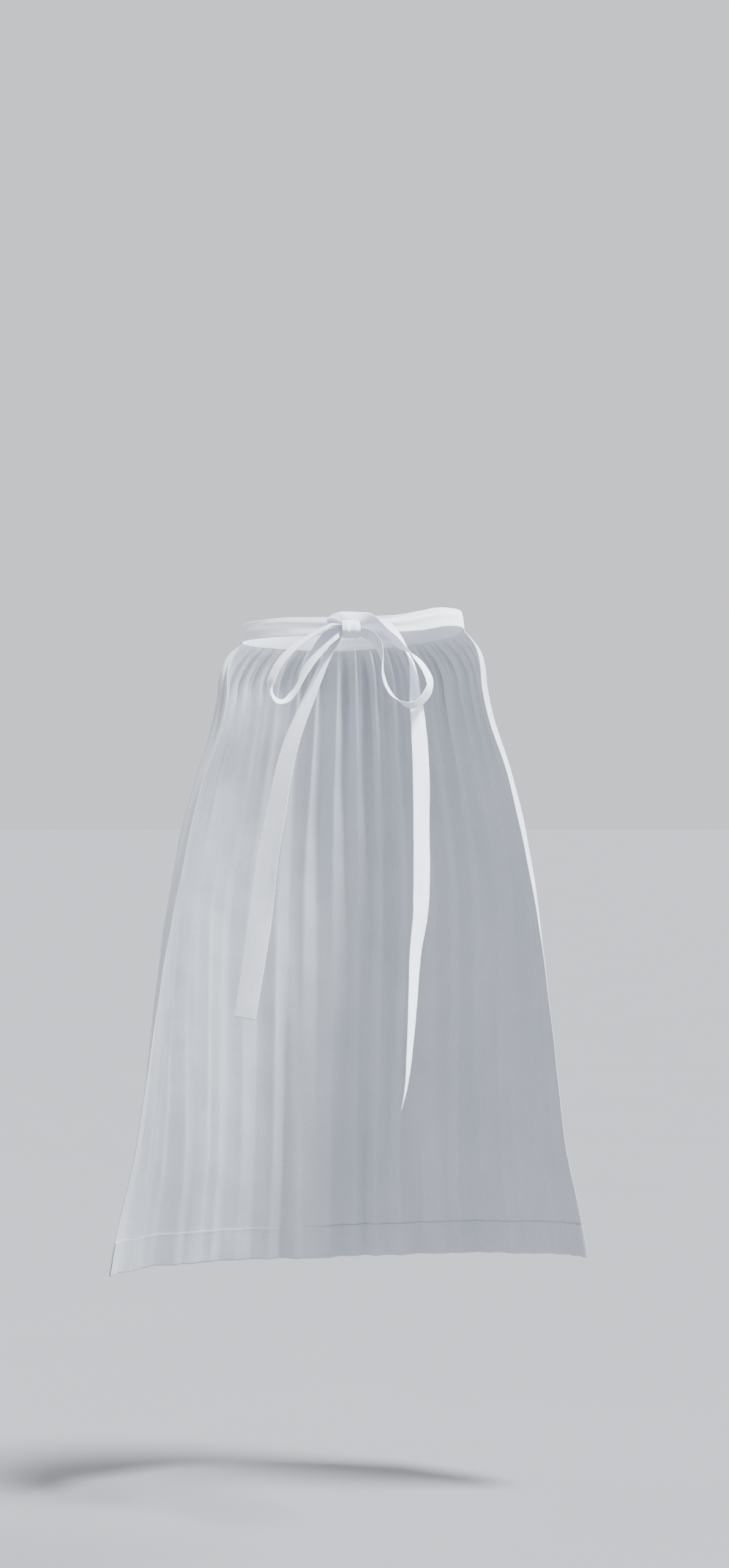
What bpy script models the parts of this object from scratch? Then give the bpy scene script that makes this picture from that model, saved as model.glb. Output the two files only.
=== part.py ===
"""A half apron of plain white cotton: one gathered panel on a long tie, bowed at the back.

Metres, +Z up, front towards -Y, the left side towards +X. The origin is the middle of the
waist, where the tie goes round it.
"""

import math

import bmesh
import bpy
from mathutils import Vector

MM = 0.001

# Driving dimensions
WAIST_HALF_WIDTH = 0.1295
WAIST_HALF_DEPTH = 0.095
TIE_WALL = 0.0016
BAND_WALL = 0.0024
PANEL_WALL = 0.0015
PANEL_LENGTH_MM = 747.0
BOTTOM_HEM_MM = 40.0
SIDE_HEM_MM = 15.0
HEM_WALL = 0.001
SEAM_GAP = 0.0003
PANEL_DROP = 0.0006
LAYER_GAP = 0.0005

# Where the tie is knotted, and where the panel's side edges meet it, in degrees
# round the waist from the middle of the back towards the left side
KNOT_ANGLE = 5.05
LEFT_SEAM_ANGLE = 86.0
RIGHT_SEAM_ANGLE = 274.0

# The tie round the waist. Columns: angle in degrees, height of its middle in mm,
# height that it covers in mm, lean of its lower edge outwards in degrees
WAIST_ROWS = (
    (5, -1.0, 18.5, 8),
    (22, -2.7, 20.4, 11),
    (38, -2.9, 21.9, 12),
    (58, -4.8, 21.5, 10),
    (90, -7.9, 21.6, 7.6),
    (135, -11.0, 24.0, 6),
    (180, -12.0, 25.0, 6),
    (225, -3.0, 24.0, 6),
    (270, 7.0, 21.6, 7.6),
    (296, 10.2, 20.8, 10),
    (312, 9.4, 22.6, 11),
    (327, 4.2, 22.4, 12),
    (336, 1.6, 20.4, 11),
    (350, -0.4, 19.0, 9),
)
# Lengthwise creases of the tie where it is pulled tight
CREASE_DEPTH = 0.0007
CREASES_ACROSS = 1.5

# The panel. Columns: mm below its seam, half width in mm, depth of the front in mm,
# how far the side edges reach round from the front in degrees, depth of the gathers in mm
PANEL_ROWS = (
    (0, 131.0, 96.5, 94.0, 0.8),
    (16, 144.0, 104.0, 99.0, 4.0),
    (40, 153.0, 111.0, 104.5, 5.2),
    (62, 155.0, 115.0, 106.0, 5.5),
    (95, 161.5, 121.0, 106.5, 5.5),
    (165, 183.0, 136.0, 103.5, 5.0),
    (285, 210.5, 157.0, 102.5, 4.6),
    (410, 228.5, 176.0, 95.0, 4.4),
    (520, 243.5, 194.0, 88.0, 4.6),
    (635, 264.5, 212.0, 82.0, 5.0),
    (700, 281.0, 223.0, 80.0, 5.0),
    (747, 291.0, 231.0, 79.0, 5.0),
)
GATHERS = 22
COLUMNS_PER_GATHER = 6
# The share of the half width, at each side edge, over which the gathers run out
FLAT_SIDE = 0.12
# How uneven the gathers are: how much, how quickly round the panel, and from where
UNEVEN_SPACING = (0.35, 7.0, 1.0)
UNEVEN_DEPTH = (0.3, 5.0, 2.0)
# How far below the seam the panel's rows of faces meet, in mm
PANEL_HEIGHTS_MM = (
    0, 6, 14, 26, 42, 62, 90, 125, 165, 215, 275, 345, 420, 495, 570, 640, 707, 727, 747,
)
# Steps along the panel that its slope is measured over: a share of its half width, and mm
SMALL_SIDE = 0.004
SMALL_DROP_MM = 2.0
SIDE_HEM_END_MM = 1.0

# The lengths of tape. Columns: x, y and z of its middle in mm, turn in degrees from
# edge on to flat towards the back, width in mm, bulge of its middle in mm
LEFT_LOOP_ROWS = (
    (16.5, 110.0, -4.8, 11, 9, 0),
    (24.5, 110.4, -2.0, 4, 10, 0),
    (31.0, 112.5, -1.4, -8, 17, 0),
    (40.0, 113.0, -5.2, -9, 22, 0),
    (50.0, 110.0, -10.8, -10, 26, 0),
    (61.6, 106.0, -18.2, -11, 28, 0),
    (76.6, 103.8, -28.8, -13, 28, 0),
    (89.8, 103.6, -42.4, -16, 28, 0),
    (97.6, 104.6, -54.8, -16, 28, 0),
    (102.0, 106.4, -66.0, -16, 28, 0),
    (102.4, 109.5, -75.9, -11, 28, 0),
    (98.8, 115.2, -84.4, 4, 28, 0),
    (91.2, 121.2, -89.0, 15, 28, 0),
    (83.2, 124.6, -86.2, 15, 28, 0),
    (77.2, 125.8, -79.8, 10, 28, 0),
    (71.4, 125.0, -70.4, 8, 28, 0),
    (64.7, 122.5, -56.5, 15, 28, 0),
    (58.6, 119.9, -45.4, 20, 28, 0),
    (50.8, 116.4, -34.2, 25, 28, 0),
    (41.0, 111.8, -21.2, 31, 27.5, 0),
    (31.7, 110.0, -12.6, 40, 24, 0),
    (25.5, 109.4, -9.6, 50, 16, 0),
    (18.0, 108.8, -8.6, 60, 9, 0),
)
RIGHT_LOOP_ROWS = (
    (36.0, 94.6, -0.5, 80, 10, 0.5),
    (29.5, 96.0, 2.0, 84, 18, 2.5),
    (22.5, 97.4, 2.6, 86, 24, 4.5),
    (11.3, 98.5, 1.6, 86, 28, 6.5),
    (0.0, 99.7, 1.2, 80, 28, 6.5),
    (-9.4, 103.8, 0.0, 63, 28, 5),
    (-16.6, 110.0, -3.2, 44, 27, 3),
    (-22.6, 115.5, -7.7, 28, 27, 1.5),
    (-29.0, 119.2, -12.9, 20, 27, 0.5),
    (-36.3, 122.0, -18.4, 15, 28, 0),
    (-43.4, 125.0, -24.5, 11, 28, 0),
    (-52.2, 128.0, -31.9, 0, 28, 0),
    (-59.0, 127.5, -38.5, -11, 28, 0),
    (-66.0, 127.0, -45.2, -17, 28, 0),
    (-72.8, 127.0, -54.8, -20, 28, 0),
    (-77.0, 127.6, -64.8, -23, 28, 0),
    (-76.4, 130.4, -74.2, -24, 28, 0),
    (-70.8, 136.8, -83.6, -24, 28, 0),
    (-61.9, 143.4, -91.0, -19, 28, 0),
    (-53.0, 147.0, -93.8, -11, 28, 0),
    (-44.9, 147.5, -92.3, -3, 28, 0),
    (-37.4, 145.0, -87.6, 8, 28, 0),
    (-30.7, 140.2, -79.5, 12, 28, 0),
    (-26.3, 136.7, -69.9, 13, 28, 0),
    (-24.2, 132.8, -59.0, 12, 28, 0),
    (-23.6, 128.8, -48.1, 6, 28, 0),
    (-23.4, 124.8, -38.2, -1, 28, 0),
    (-21.8, 120.0, -29.6, -10, 28, 0),
    (-18.0, 115.2, -21.8, -17, 27, 0),
    (-12.0, 111.8, -15.2, -24, 25, 0),
    (-5.0, 110.6, -11.4, -30, 20, 0),
    (3.6, 111.0, -9.2, -42, 12, 0),
)
LEFT_TAIL_ROWS = (
    (24.4, 104.2, -14.8, 35, 10, 0),
    (29.8, 107.0, -23.6, 34, 12, 0),
    (35.2, 110.2, -32.9, 34, 12, 0),
    (43.0, 115.5, -47.8, 36, 14, 0),
    (51.4, 120.5, -66.1, 37, 17, 0),
    (59.6, 125.0, -85.1, 36, 20, 0),
    (69.5, 129.5, -107.5, 39, 22, 0),
    (78.6, 132.9, -130.0, 42, 24, 0),
    (90.2, 137.2, -171.5, 46, 26, 0),
    (98.5, 140.0, -214.5, 49, 28, 0),
    (108.6, 141.6, -267.1, 57, 28, 0),
    (116.3, 142.8, -329.5, 71, 28, 0),
    (125.4, 145.0, -391.6, 65, 28, 0),
    (134.9, 147.3, -448.8, 58, 28, 0),
)
RIGHT_TAIL_ROWS = (
    (-8.3, 101.4, 1.4, 80, 9, 0),
    (-16.8, 100.2, 1.0, 78, 13, 0),
    (-26.7, 99.2, -2.1, 70, 16, 0),
    (-36.5, 99.8, -8.4, 57, 16, 0),
    (-43.5, 101.6, -16.2, 45, 14, 0),
    (-48.6, 103.4, -23.4, 36, 12, 0),
    (-54.2, 107.3, -34.0, 22, 12, 0),
    (-58.8, 111.0, -45.9, 31, 13, 0),
    (-60.6, 114.8, -57.5, 42, 14, 0),
    (-61.6, 120.5, -75.6, 52, 16, 0),
    (-62.6, 125.0, -93.2, 62, 18, 0),
    (-64.4, 132.6, -121.3, 61, 21, 0),
    (-65.8, 142.4, -163.1, 58, 24, 0),
    (-65.2, 154.2, -232.5, 48, 27, 0),
    (-64.4, 162.4, -300.9, 47, 28, 0),
    (-62.9, 165.5, -330.5, 43, 28, 0),
    (-56.9, 171.2, -371.7, 34, 28, 0),
    (-53.2, 176.8, -425.2, 27, 28, 0),
    (-49.9, 181.6, -472.0, 21, 28, 0),
    (-41.3, 189.4, -539.0, 8, 28, 0),
)
# The tape wrapped over the knot. Columns: y and z of its path in mm, half width in mm
WRAP_ROWS = (
    (112.0, 3.4, 9.8),
    (115.2, 0.6, 10.4),
    (119.0, -3.6, 10.7),
    (120.6, -8.6, 10.6),
    (119.0, -12.8, 10.2),
    (113.4, -15.6, 9.8),
    (105.0, -16.2, 9.4),
)
WRAP_MIDDLE_X_MM = 11.4
# Faces across each strip and along a row of it, and the angle that one face of the tie
# goes round
COLUMNS_ON_TIE = 4
COLUMNS_ON_TAPE = 3
COLUMNS_ON_WRAP = 2
STEPS_A_ROW = 2
RING_STEP_DEGREES = 6.0

COTTON = (0.80, 0.82, 0.86, 1.0)
COTTON_SHADED = (0.62, 0.64, 0.67, 1.0)
COTTON_ROUGHNESS = 0.85


def clear_scene():
    for obj in list(bpy.data.objects):
        bpy.data.objects.remove(obj, do_unlink=True)


def cotton(name, colour):
    material = bpy.data.materials.new(name)
    material.use_nodes = True
    shader = material.node_tree.nodes["Principled BSDF"]
    shader.inputs["Base Color"].default_value = colour
    shader.inputs["Roughness"].default_value = COTTON_ROUGHNESS
    shader.inputs["Metallic"].default_value = 0.0
    return material


def smooth(rows, at):
    """The other columns of a table where its first column is at, on a smooth curve."""
    last = len(rows) - 2
    i = next((k for k in range(last) if at <= rows[k + 1][0]), last)
    step = rows[i + 1][0] - rows[i][0]
    t = (at - rows[i][0]) / step

    def slope(k, column):
        before = rows[max(k - 1, 0)]
        after = rows[min(k + 1, len(rows) - 1)]
        here = rows[k]
        if before is here or after is here:
            return (after[column] - before[column]) / (after[0] - before[0])
        left = (here[column] - before[column]) / (here[0] - before[0])
        right = (after[column] - here[column]) / (after[0] - here[0])
        share = (here[0] - before[0]) / (after[0] - before[0])
        return left * (1 - share) + right * share

    found = []
    for column in range(1, len(rows[0])):
        a = rows[i][column]
        b = rows[i + 1][column]
        run_in = slope(i, column) * step
        run_out = slope(i + 1, column) * step
        found.append(
            a * (2 * t**3 - 3 * t**2 + 1)
            + run_in * (t**3 - 2 * t**2 + t)
            + b * (3 * t**2 - 2 * t**3)
            + run_out * (t**3 - t**2)
        )
    return found


def spread(count):
    """Places across a strip, from -1 to 1."""
    return [2 * i / count - 1 for i in range(count + 1)]


def wall(collection, name, grid, thickness, material):
    """A cloth wall: an open surface lofted through the rows of a grid, with Solidify."""
    mesh = bpy.data.meshes.new(name)
    bm = bmesh.new()
    rows = [[bm.verts.new(point) for point in row] for row in grid]
    for upper, lower in zip(rows, rows[1:]):
        for i in range(len(upper) - 1):
            bm.faces.new((upper[i], upper[i + 1], lower[i + 1], lower[i]))
    bm.to_mesh(mesh)
    bm.free()
    mesh.shade_smooth()
    mesh.materials.append(material)
    obj = bpy.data.objects.new(name, mesh)
    collection.objects.link(obj)
    solidify = obj.modifiers.new("Cloth", "SOLIDIFY")
    solidify.thickness = thickness
    solidify.offset = 0.0
    return obj


# The tie round the waist


def whole_turn(rows):
    """The waist table with its ends repeated a turn away, so that it closes."""
    before = [(row[0] - 360, *row[1:]) for row in rows[-2:]]
    after = [(row[0] + 360, *row[1:]) for row in rows[:3]]
    return before + list(rows) + after


def tie_point(angle, across):
    """A point of the tie round the waist; across is 1 at its upper edge."""
    middle, height, lean = smooth(whole_turn(WAIST_ROWS), angle)
    rise = across * height / 2 * MM
    crease = CREASE_DEPTH * math.cos(CREASES_ACROSS * math.pi * across)
    out = crease - rise * math.tan(math.radians(lean))
    turn = math.radians(angle)
    return Vector((
        (WAIST_HALF_WIDTH + out) * math.sin(turn),
        (WAIST_HALF_DEPTH + out) * math.cos(turn),
        middle * MM + rise,
    ))


def tie_stretch(collection, name, start, end, thickness, material):
    """The tie between two angles, short of each by half a seam gap."""
    gap = math.degrees(SEAM_GAP / 2 / WAIST_HALF_DEPTH)
    start += gap
    end -= gap
    steps = math.ceil((end - start) / RING_STEP_DEGREES)
    grid = []
    for i in range(steps + 1):
        angle = start + (end - start) * i / steps
        grid.append([tie_point(angle, across) for across in spread(COLUMNS_ON_TIE)])
    return wall(collection, name, grid, thickness, material)


# The panel and its hems


def seam_height(side):
    """The height of the panel's top edge; side is -1 to 1 from right to left."""
    reach = PANEL_ROWS[0][3]
    return tie_point(180 - side * reach, -1).z - PANEL_DROP


def uneven(amounts, side):
    much, quickness, start = amounts
    return much * math.sin(quickness * side + start)


def panel_middle(side, down_mm):
    """A point in the middle of the panel's wall."""
    half_width, depth, reach, gather = smooth(PANEL_ROWS, down_mm)
    angle = math.radians(side * reach)
    swing = math.pi * GATHERS * side + uneven(UNEVEN_SPACING, side)
    edge = min(1.0, (1 - abs(side)) / FLAT_SIDE)
    out = gather * edge * (1 + uneven(UNEVEN_DEPTH, side)) * math.cos(swing)
    return Vector((
        (half_width + out) * MM * math.sin(angle),
        -(depth + out) * MM * math.cos(angle),
        seam_height(side) - down_mm * MM,
    ))


def panel_point(side, down_mm, inward=0.0):
    """A point of the panel, moved off it towards its hollow side by inward."""
    point = panel_middle(side, down_mm)
    if not inward:
        return point
    to_left = panel_middle(min(side + SMALL_SIDE, 1), down_mm)
    to_right = panel_middle(max(side - SMALL_SIDE, -1), down_mm)
    above = panel_middle(side, max(down_mm - SMALL_DROP_MM, 0))
    below = panel_middle(side, min(down_mm + SMALL_DROP_MM, PANEL_LENGTH_MM))
    return point + (to_left - to_right).cross(below - above).normalized() * inward


def hem_share(side):
    """The share of the panel's half width that a side hem takes."""
    half_arc = (panel_middle(side, PANEL_LENGTH_MM) - panel_middle(0, PANEL_LENGTH_MM)).length
    return SIDE_HEM_MM * MM / half_arc


def panel_sides():
    """The columns of the panel's grid, with one at each side hem's inner edge."""
    inner = 1 - hem_share(1)
    count = GATHERS * COLUMNS_PER_GATHER
    return [-1.0] + [inner * side for side in spread(count)] + [1.0]


def panel(collection, material):
    grid = [[panel_point(side, down) for side in panel_sides()] for down in PANEL_HEIGHTS_MM]
    return wall(collection, "panel", grid, PANEL_WALL, material)


def hem_inward():
    return PANEL_WALL / 2 + LAYER_GAP + HEM_WALL / 2


def bottom_hem(collection, material):
    top = PANEL_LENGTH_MM - BOTTOM_HEM_MM
    heights = [down for down in PANEL_HEIGHTS_MM if down >= top]
    grid = [[panel_point(side, down, hem_inward()) for side in panel_sides()] for down in heights]
    return wall(collection, "bottom_hem", grid, HEM_WALL, material)


def side_hem(collection, name, sign, material):
    """The narrow turn along one side edge, ending just above the bottom hem."""
    top = PANEL_LENGTH_MM - BOTTOM_HEM_MM
    heights = [down for down in PANEL_HEIGHTS_MM if 0 < down < top] + [top - SIDE_HEM_END_MM]
    sides = (sign * (1 - hem_share(1)), sign)
    grid = [[panel_point(side, down, hem_inward()) for side in sorted(sides)] for down in heights]
    return wall(collection, name, grid, HEM_WALL, material)


# The knot, the loops and the tails


def tape(collection, name, rows, outward, material):
    """A length of tape through a table's rows.

    outward is the side of its path, 1 or -1, that its near edge goes to as it turns.
    """
    keyed = [(0.0, *rows[0])]
    for before, row in zip(rows, rows[1:]):
        run = (Vector(row[:3]) - Vector(before[:3])).length
        keyed.append((keyed[-1][0] + run, *row))
    places = [keyed[0][0]]
    for before, row in zip(keyed, keyed[1:]):
        step = (row[0] - before[0]) / STEPS_A_ROW
        places += [before[0] + step * (i + 1) for i in range(STEPS_A_ROW)]
    grid = []
    for i, place in enumerate(places):
        x, y, z, turn, width, bulge = smooth(keyed, place)
        ahead = smooth(keyed, places[min(i + 1, len(places) - 1)])
        behind = smooth(keyed, places[max(i - 1, 0)])
        along = (Vector(ahead[:3]) - Vector(behind[:3])).normalized()
        side = Vector((-along.z, 0, along.x)).normalized() * outward
        toward = along.cross(side)
        if toward.y < 0:
            toward.negate()
        lean = math.radians(turn)
        edge = side * math.sin(lean) + toward * math.cos(lean)
        face = along.cross(edge)
        if face.y < 0:
            face.negate()
        half = (width - 8 * bulge * bulge / (3 * width)) / 2
        middle = Vector((x, y, z))
        line = []
        for across in spread(COLUMNS_ON_TAPE):
            offset = edge * half * across + face * bulge * (1 - across * across)
            line.append((middle + offset) * MM)
        grid.append(line)
    return wall(collection, name, grid, TIE_WALL, material)


def knot_wrap(collection, material):
    """The tape that goes over the front of the knot and back under it."""
    grid = []
    for y, z, half in WRAP_ROWS:
        across_it = [WRAP_MIDDLE_X_MM + half * across for across in spread(COLUMNS_ON_WRAP)]
        grid.append([Vector((x, y, z)) * MM for x in across_it])
    return wall(collection, "knot_wrap", grid, TIE_WALL, material)


def build():
    clear_scene()
    collection = bpy.data.collections.new("medieval_apron")
    bpy.context.scene.collection.children.link(collection)
    panel(collection, cotton("panel_cotton", COTTON_SHADED))
    bottom_hem(collection, cotton("bottom_hem_cotton", COTTON_SHADED))
    side_hem(collection, "side_hem_left", 1, cotton("side_hem_left_cotton", COTTON_SHADED))
    side_hem(collection, "side_hem_right", -1, cotton("side_hem_right_cotton", COTTON_SHADED))
    stretches = (
        ("waist_tape_left", KNOT_ANGLE, LEFT_SEAM_ANGLE, TIE_WALL),
        ("waistband_front", LEFT_SEAM_ANGLE, RIGHT_SEAM_ANGLE, BAND_WALL),
        ("waist_tape_right", RIGHT_SEAM_ANGLE, KNOT_ANGLE + 360, TIE_WALL),
    )
    for name, start, end, thickness in stretches:
        tie_stretch(collection, name, start, end, thickness, cotton(name + "_cotton", COTTON))
    tapes = (
        ("left_loop", LEFT_LOOP_ROWS, 1),
        ("right_loop", RIGHT_LOOP_ROWS, -1),
        ("left_tail", LEFT_TAIL_ROWS, -1),
        ("right_tail", RIGHT_TAIL_ROWS, 1),
    )
    for name, rows, outward in tapes:
        tape(collection, name, rows, outward, cotton(name + "_cotton", COTTON))
    knot_wrap(collection, cotton("knot_wrap_cotton", COTTON))


build()
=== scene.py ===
"""Looks of a plain white cotton half apron, worn with its tie bowed at the back.

Metres in the CAD frame: +Z up, front towards -Y, the left side towards +X, the origin in the
middle of the waist. Tables are in millimetres and degrees.
"""

import math

import bmesh
import bpy
import numpy as np
from mathutils import Matrix, Vector


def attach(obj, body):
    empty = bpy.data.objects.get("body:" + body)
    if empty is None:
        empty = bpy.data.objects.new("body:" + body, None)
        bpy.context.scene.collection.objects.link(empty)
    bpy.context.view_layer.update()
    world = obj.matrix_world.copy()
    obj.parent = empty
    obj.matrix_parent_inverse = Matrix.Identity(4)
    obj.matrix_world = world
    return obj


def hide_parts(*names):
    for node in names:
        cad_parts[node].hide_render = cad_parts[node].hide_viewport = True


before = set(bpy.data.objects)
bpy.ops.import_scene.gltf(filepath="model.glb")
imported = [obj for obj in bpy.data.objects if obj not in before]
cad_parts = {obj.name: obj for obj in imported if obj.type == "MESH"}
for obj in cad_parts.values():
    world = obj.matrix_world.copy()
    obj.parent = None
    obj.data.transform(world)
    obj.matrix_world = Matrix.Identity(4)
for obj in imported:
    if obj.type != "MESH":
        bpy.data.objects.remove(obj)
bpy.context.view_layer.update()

MM = 0.001
MERGE_DISTANCE = 0.01 * MM
BACKWARD = (0, 1, 0)

# The waist. Angles go from the back's middle by its left: where the tie is knotted, what is
# left open there, where the panel starts and ends, and over how much the tie thickens there
WAIST_HALF_WIDTH = 129.5
WAIST_HALF_DEPTH = 95.0
KNOT_ANGLE = 5.05
KNOT_OPENING = 0.3
LEFT_SEAM_ANGLE = 86.0
RIGHT_SEAM_ANGLE = 274.0
SEAM_EASE = 5.0
WAIST_SECTIONS = 440

# The tie round the waist. Columns: angle in degrees, height of its middle,
# height that it covers, lean of its lower edge outwards in degrees
WAIST_ROWS = (
    (5, -1.0, 18.5, 8),
    (22, -2.7, 20.4, 11),
    (38, -2.9, 21.9, 12),
    (58, -4.8, 21.5, 10),
    (90, -7.9, 21.6, 7.6),
    (135, -11.0, 24.0, 6),
    (180, -12.0, 25.0, 6),
    (225, -3.0, 24.0, 6),
    (270, 7.0, 21.6, 7.6),
    (296, 10.2, 20.8, 10),
    (312, 9.4, 22.6, 11),
    (327, 4.2, 22.4, 12),
    (336, 1.6, 20.4, 11),
    (350, -0.4, 19.0, 9),
)

# The panel's cut: its finished half width and length, what its hems take, and how much of
# its top edge is tucked into the tie
HALF_WIDTH = 380.0
LENGTH = 747.0
SIDE_HEM = 15.0
BOTTOM_HEM = 40.0
TUCK = 3.0
# Thickness of the cloth, from the middle of the panel to the middle of a hem on it, how far
# from a side hem the bottom hem rises to lie over it, and how far a folded edge rolls out
CLOTH = 0.5
HEM_GAP = 0.75
CORNER_EASE = 6.0
EDGE_ROLL = 0.35
# The panel as it hangs. Columns: drop below its seam, half width, depth of the front,
# reach of the side edges round from the front in degrees, depth of the gathers
PANEL_ROWS = (
    (0, 131.0, 96.5, 94.0, 0.8),
    (16, 144.0, 104.0, 99.0, 4.0),
    (40, 153.0, 111.0, 104.5, 5.2),
    (62, 155.0, 115.0, 106.0, 5.5),
    (95, 161.5, 121.0, 106.5, 5.5),
    (165, 183.0, 136.0, 103.5, 5.0),
    (285, 210.5, 157.0, 102.5, 4.6),
    (410, 228.5, 176.0, 95.0, 4.4),
    (520, 243.5, 194.0, 88.0, 4.6),
    (635, 264.5, 212.0, 82.0, 5.0),
    (700, 281.0, 223.0, 80.0, 5.0),
    (747, 291.0, 231.0, 79.0, 5.0),
)
# Columns of the cloth, close together at its folds: half of what a fold takes, how many
# between the side hems, and how far from the side edge they are in a hem
FOLD = 0.6
INNER_COLUMNS = 361
HEM_COLUMNS = (FOLD, 3 * FOLD, 5, 10, SIDE_HEM - 0.5)
# Rows of the cloth: drops under the band, then from, to and step, then how far they are
# from the fold of the bottom hem
BAND_ROWS = (-TUCK, 0, 2, 4, 6.5)
ROW_STEPS = ((9, 45, 3), (45, 120, 5), (120, LENGTH - BOTTOM_HEM, 8.5))
HEM_ROWS = (BOTTOM_HEM, BOTTOM_HEM - 0.4, BOTTOM_HEM - 1.4, 34, 27, 19, 12, 8, 4, 1.8, 0.6)
# How far apart points are taken to find the way across and down the cloth
NEAR_SIDE = 0.002
NEAR_DROP = 1.0

# The gathers: how many, the share of the half panel beside a side edge where they die out,
# and how uneven their spacing, in radians, and their depth are. A single wave is given by its
# radians for each half of the panel and its start; in a tuple, each by its spacing and start
GATHERS = 22
FLAT_SIDE = 0.12
UNEVEN_SPACING = 0.35
SPACING_WAVE = (7, 1)
UNEVEN_DEPTH = 0.3
DEPTH_WAVE = (5, 2)
# The drop at which they start to settle into the hang of the cloth, and how long that takes
SETTLE_DROP = 60
SETTLE_LENGTH = 500
# How far they wander sideways, in radians: under the band, further when settled, and to and
# fro on the way down, with the drop and the share of the panel's half that each radian takes
WANDER = 0.3
WANDER_SETTLED = 1.3
WANDER_WAVES = ((0.47, 0.6), (0.29, 2.4), (0.83, 1.1))
SWAY = 0.5
SWAY_DROP = 150
SWAY_SIDE = 0.25
# What they lose of their depth when settled: all alike, and each in its own way, with the
# drop in which that drifts by the panel's half, and the least and most depth that stays
LOSS = 0.22
UNEVEN_LOSS = 0.85
LOSS_WAVES = ((0.21, 0.3), (0.135, 1.9), (0.37, 4.4))
LOSS_DRIFT = 4200
LEAST_DEPTH = 0.08
MOST_DEPTH = 1.4
# How sharp their crests are; 1 would be a corner
CREST = 0.992
# The small pleats that the drawn-up stitches leave under the band, and the folds they
# run into. Columns: how many, depth, drop where it is deepest, drop where it ends
FINE_GATHERS = (
    (67, 1.7, 12, 85),
    (41, 1.6, 36, 230),
)
# How uneven those are in place, in radians, in reach and in depth, and the share and start
# of a second pleat within each
FINE_WANDER = 0.9
FINE_UNEVEN_REACH = 0.45
FINE_UNEVEN_DEPTH = 0.35
FINE_SECOND = 0.28
FINE_SECOND_START = 0.7
# Slight unevenness all over: depth, the drop where it is full, how far in radians its waves
# bend and the drop that a radian of that takes, and waves of spacing, turn and start
CRUMPLE = 0.2
CRUMPLE_FULL = 40
CRUMPLE_BEND = 0.8
CRUMPLE_BEND_DROP = 71
CRUMPLE_WAVES = ((47, 8, 0.4), (61, 49, 2.2), (83, -28, 1.1), (37, -14, 4.0), (113, 22, 5.2))
# The broad folds that the gathers fall into. Columns: how many, start, drift, depth
BROAD_FOLDS = (
    (5.3, 0.4, 0.9, 3.4),
    (8.7, 2.1, -1.1, 2.6),
)
# Creases given one by one. Columns: place from -1 at the right edge to 1 at the left,
# drift of its lower end, drop of its two ends, half width, height
CREASES = (
    (-0.93, 0.02, 60, 420, 9, 1.6),
    (-0.78, -0.03, 40, 560, 11, 2.2),
    (-0.66, 0.04, 180, 700, 13, -2.4),
    (-0.52, -0.02, 30, 330, 8, 1.8),
    (-0.44, 0.03, 300, 747, 15, 2.6),
    (-0.33, -0.04, 60, 480, 10, -1.9),
    (-0.21, 0.02, 120, 640, 12, 2.3),
    (-0.10, -0.02, 20, 280, 7, 1.6),
    (-0.02, 0.05, 260, 747, 16, -2.8),
    (0.09, -0.03, 50, 520, 10, 2.1),
    (0.20, 0.02, 90, 390, 9, -1.7),
    (0.28, 0.04, 330, 747, 14, 2.5),
    (0.41, -0.02, 40, 610, 11, 2.0),
    (0.53, 0.03, 150, 450, 9, -1.8),
    (0.62, -0.04, 60, 700, 13, 2.4),
    (0.74, 0.02, 30, 300, 8, 1.5),
    (0.83, 0.02, 240, 747, 12, -2.0),
    (0.93, -0.01, 90, 520, 9, 1.7),
)
# How the height of a crease falls off sideways: 1 is a ridge, 2 a round swell. The panel is
# drawn together to this share of its width at the band
CREASE_FALL_OFF = 1.35
BAND_SHARE = 0.5

# The lengths of tape. Columns: x, y and z of the middle, turn in degrees from edge on to
# flat towards the back, width, bulge of the middle
LEFT_LOOP_ROWS = (
    (16.5, 110.0, -4.8, 11, 9, 0),
    (24.5, 110.4, -2.0, 4, 10, 0),
    (31.0, 112.5, -1.4, -8, 17, 0),
    (40.0, 113.0, -5.2, -9, 22, 0),
    (50.0, 110.0, -10.8, -10, 26, 0),
    (61.6, 106.0, -18.2, -11, 28, 0),
    (76.6, 103.8, -28.8, -13, 28, 0),
    (89.8, 103.6, -42.4, -16, 28, 0),
    (97.6, 104.6, -54.8, -16, 28, 0),
    (102.0, 106.4, -66.0, -16, 28, 0),
    (102.4, 109.5, -75.9, -11, 28, 0),
    (98.8, 115.2, -84.4, 4, 28, 0),
    (91.2, 121.2, -89.0, 15, 28, 0),
    (83.2, 124.6, -86.2, 15, 28, 0),
    (77.2, 125.8, -79.8, 10, 28, 0),
    (71.4, 125.0, -70.4, 8, 28, 0),
    (64.7, 122.5, -56.5, 15, 28, 0),
    (58.6, 119.9, -45.4, 20, 28, 0),
    (50.8, 116.4, -34.2, 25, 28, 0),
    (41.0, 111.8, -21.2, 31, 27.5, 0),
    (31.7, 110.0, -12.6, 40, 24, 0),
    (25.5, 109.4, -9.6, 50, 16, 0),
    (18.0, 108.8, -8.6, 60, 9, 0),
)
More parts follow.
